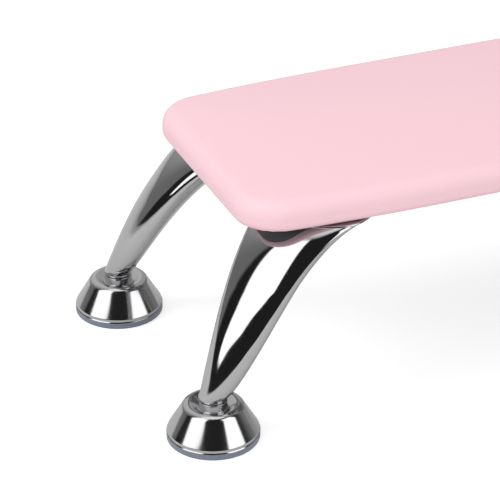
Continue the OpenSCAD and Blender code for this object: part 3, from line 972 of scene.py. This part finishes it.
class HANDREST_OT_stage(bpy.types.Operator):
    """Sets the floor, the camera and the studio lights"""

    bl_idname = "hand_rest.stage"
    bl_label = "Stage"

    # Width of the camera's frame in millimetres
    SENSOR = 36
    # Half of the floor's side, its grey, and the glow that lifts it to white for the camera
    FLOOR_HALF, FLOOR_GREY, FLOOR_GLOW = 6, 0.72, 0.56
    # Where the lights point, and how far away they hang
    LIGHT_AIM = Vector((-0.12, 0, 0.08))
    LIGHT_DISTANCE = 1.8

    # The mirrored studio. Each pair runs from dark to bright: angles in degrees from the camera's side to the
    # right, or heights from 0 at the horizon to 1 overhead.
    LEFT_BOX, LEFT_BOX_TOP = ((-79, -76), (-25.5, -28.5)), (0.95, 0.91)
    RIGHT_BOX, RIGHT_BOX_TOP = ((36.5, 39.5), (82.5, 79.5)), (0.88, 0.78)
    BOX_FOOT, CEILING = (0.12, 0.18), (0.92, 0.97)
    # Low down the left box is narrower on its right, by up to this angle
    TAPER, TAPER_ANGLE = (0.52, 0.1), math.radians(42)
    # The left wall's edge leans with the height; the far wall goes by height and distance together
    LEFT_WALL, RIGHT_WALL, FAR_WALL = (-102, -108), (85, 115), (0.6, 1.3)
    LEFT_WALL_LEAN = 0.5
    LEFT_WALL_LIGHT, RIGHT_WALL_LIGHT, FAR_WALL_LIGHT = 0.2, 0.22, 0.5
    CEILING_LIGHT, DARK_LIGHT = 0.9, 0.02

    def execute(self, context):
        stage = context.scene.hand_rest.stage
        context.scene.view_settings.view_transform = "Standard"
        self.floor()
        self.room(context.scene, stage)
        self.camera(context.scene, stage)
        self.lights(stage)
        return {"FINISHED"}

    def view_axes(self, stage):
        right = Vector((math.cos(stage.yaw), -math.sin(stage.yaw), 0))
        ahead = Vector((math.sin(stage.yaw), math.cos(stage.yaw), 0))
        look = ahead * math.cos(stage.pitch) - Vector((0, 0, math.sin(stage.pitch)))
        return right, ahead, look, right.cross(look)

    def camera(self, scene, stage):
        right, _, look, up = self.view_axes(stage)
        across = right * math.cos(stage.roll) + up * math.sin(stage.roll)
        upright = up * math.cos(stage.roll) - right * math.sin(stage.roll)
        aim = Vector((-FOOT_X, 0, 0))
        place = aim - look * stage.distance + right * stage.aside + up * stage.above
        data = bpy.data.cameras.new("photo_camera")
        data.sensor_width = self.SENSOR
        data.lens = stage.focal
        data.clip_start, data.clip_end = 0.05, 50
        camera = bpy.data.objects.new("photo_camera", data)
        camera.matrix_world = Matrix((
            (across.x, upright.x, -look.x, place.x),
            (across.y, upright.y, -look.y, place.y),
            (across.z, upright.z, -look.z, place.z),
            (0, 0, 0, 1)))
        scene.collection.objects.link(camera)
        scene.camera = camera

    def floor(self):
        """A plain pale floor; where nothing shades it, the camera sees it white."""
        finish = Finish("pale_floor")
        camera = finish.wire("LightPath", "Is Camera Ray")
        matt = finish.wire("BsdfDiffuse", "BSDF", {}, {"Color": (*[self.FLOOR_GREY] * 3, 1)})
        strength = camera * self.FLOOR_GLOW
        glow = finish.wire("Emission", "Emission", {}, {"Color": (1, 1, 1, 1), "Strength": strength})
        surface = finish.wire("AddShader", 0, {}, {0: matt, 1: glow})
        finish.node("OutputMaterial", {}, {"Surface": surface})
        half = self.FLOOR_HALF
        corners = [(-half, -half, 0), (half, -half, 0), (half, half, 0), (-half, half, 0)]
        mesh = bpy.data.meshes.new("floor")
        mesh.from_pydata(corners, [], [(0, 1, 2, 3)])
        mesh.materials.append(finish.material)
        floor = bpy.data.objects.new("floor", mesh)
        bpy.context.scene.collection.objects.link(floor)

    def room(self, scene, stage):
        """White behind the object. The metal mirrors a dark studio with two tall softboxes and grey walls."""
        world = bpy.data.worlds.new("studio")
        world.use_nodes = True
        finish = Finish("studio", world.node_tree)
        camera = finish.wire("LightPath", "Is Camera Ray")
        glossy = finish.wire("LightPath", "Is Glossy Ray")
        right, ahead, *_ = self.view_axes(stage)
        where = finish.wire("TexCoord", "Generated")
        behind, aside = [finish.wire("VectorMath", "Value", {"operation": "DOT_PRODUCT"}, {0: where, 1: axis})
                         for axis in (ahead, right)]
        height = finish.wire("SeparateXYZ", "Z", {}, {"Vector": where})
        # Angle from the camera's side, to the right
        turn = finish.wire("Math", 0, {"operation": "ARCTAN2"}, {0: aside, 1: behind * -1})
        narrow = turn + finish.ramp(height, *self.TAPER) * self.TAPER_ANGLE
        left_box = self.edge(finish, turn, self.LEFT_BOX[0]) * finish.ramp(height, *self.LEFT_BOX_TOP)
        left_box = left_box * self.edge(finish, narrow, self.LEFT_BOX[1])
        right_box = self.edge(finish, turn, self.RIGHT_BOX[0]) * self.edge(finish, turn, self.RIGHT_BOX[1])
        right_box = right_box * finish.ramp(height, *self.RIGHT_BOX_TOP)
        boxes = (left_box + right_box) * finish.ramp(height, *self.BOX_FOOT)
        leaning = turn - height * self.LEFT_WALL_LEAN
        left_wall = self.edge(finish, leaning, self.LEFT_WALL) * self.LEFT_WALL_LIGHT
        far_wall = finish.ramp(behind + height, *self.FAR_WALL) * self.FAR_WALL_LIGHT
        right_wall = self.edge(finish, turn, self.RIGHT_WALL) * self.RIGHT_WALL_LIGHT
        wall = (left_wall + far_wall).largest(right_wall)
        ceiling = finish.ramp(height, *self.CEILING) * self.CEILING_LIGHT
        mirrored = boxes * stage.softbox + wall + ceiling + self.DARK_LIGHT
        strength = camera + glossy * mirrored + (1 - camera) * (1 - glossy) * stage.sky
        light = finish.wire("Background", "Background", {}, {"Color": (1, 1, 1, 1), "Strength": strength})
        finish.node("OutputWorld", {}, {"Surface": light})
        scene.world = world

    def edge(self, finish, turn, angles):
        """A soft upright edge between two angles in degrees."""
        return finish.ramp(turn, *[math.radians(degrees) for degrees in angles])

    def lights(self, stage):
        right, ahead, *_ = self.view_axes(stage)
        for name, azimuth, elevation, size, power in (
            ("key_light", -78, 44, 0.9, stage.key),
            ("ceiling_light", 180, 84, 1.8, stage.ceiling),
            ("front_light", 12, 22, 1.4, stage.front),
        ):
            a, e = math.radians(azimuth), math.radians(elevation)
            level = -ahead * math.cos(a) + right * math.sin(a)
            self.panel(name, level * math.cos(e) + Vector((0, 0, math.sin(e))), size, power)

    def panel(self, name, way, size, power):
        """A soft square light on the side that way points to."""
        data = bpy.data.lights.new(name, "AREA")
        data.size = size
        data.energy = power
        light = bpy.data.objects.new(name, data)
        light.location = self.LIGHT_AIM + way * self.LIGHT_DISTANCE
        light.rotation_mode = "QUATERNION"
        light.rotation_quaternion = (-way).to_track_quat("-Z", "Y")
        light.visible_camera = False
        light.visible_glossy = False
        bpy.context.scene.collection.objects.link(light)


class HANDREST_PT_panel(bpy.types.Panel):
    """Sizes, colours and steps of the hand rest"""

    bl_idname = "HANDREST_PT_panel"
    bl_label = "Hand rest"
    bl_space_type = "VIEW_3D"
    bl_region_type = "UI"
    bl_category = "Hand rest"

    def draw(self, context):
        rest = context.scene.hand_rest
        for group, steps in PANEL_ROWS:
            settings = getattr(rest, group)
            box = self.layout.box()
            box.label(text=HandRest.bl_rna.properties[group].name)
            for name in settings.__annotations__:
                box.prop(settings, name)
            for step in steps:
                box.operator(step.bl_idname)


PANEL_ROWS = (
    ("pad", (HANDREST_OT_pad, HANDREST_OT_board)),
    ("underside", (HANDREST_OT_underside,)),
    ("horn", (HANDREST_OT_horns,)),
    ("foot", (HANDREST_OT_feet, HANDREST_OT_screws)),
    ("stage", (HANDREST_OT_stage,)),
)
CLASSES = (
    PadSizes, UndersideSizes, HornSizes, FootSizes, StageSettings, HandRest,
    HANDREST_OT_pad, HANDREST_OT_underside, HANDREST_OT_board, HANDREST_OT_horns,
    HANDREST_OT_feet, HANDREST_OT_screws, HANDREST_OT_stage, HANDREST_PT_panel,
)


def register():
    for part in CLASSES:
        bpy.utils.register_class(part)
    bpy.types.Scene.hand_rest = PointerProperty(type=HandRest)


def unregister():
    del bpy.types.Scene.hand_rest
    for part in reversed(CLASSES):
        bpy.utils.unregister_class(part)


def main():
    register()
    bpy.ops.hand_rest.pad()
    bpy.ops.hand_rest.underside()
    bpy.ops.hand_rest.board()
    bpy.ops.hand_rest.horns()
    bpy.ops.hand_rest.feet()
    bpy.ops.hand_rest.screws()
    bpy.ops.hand_rest.stage()


if __name__ == "__main__":
    main()
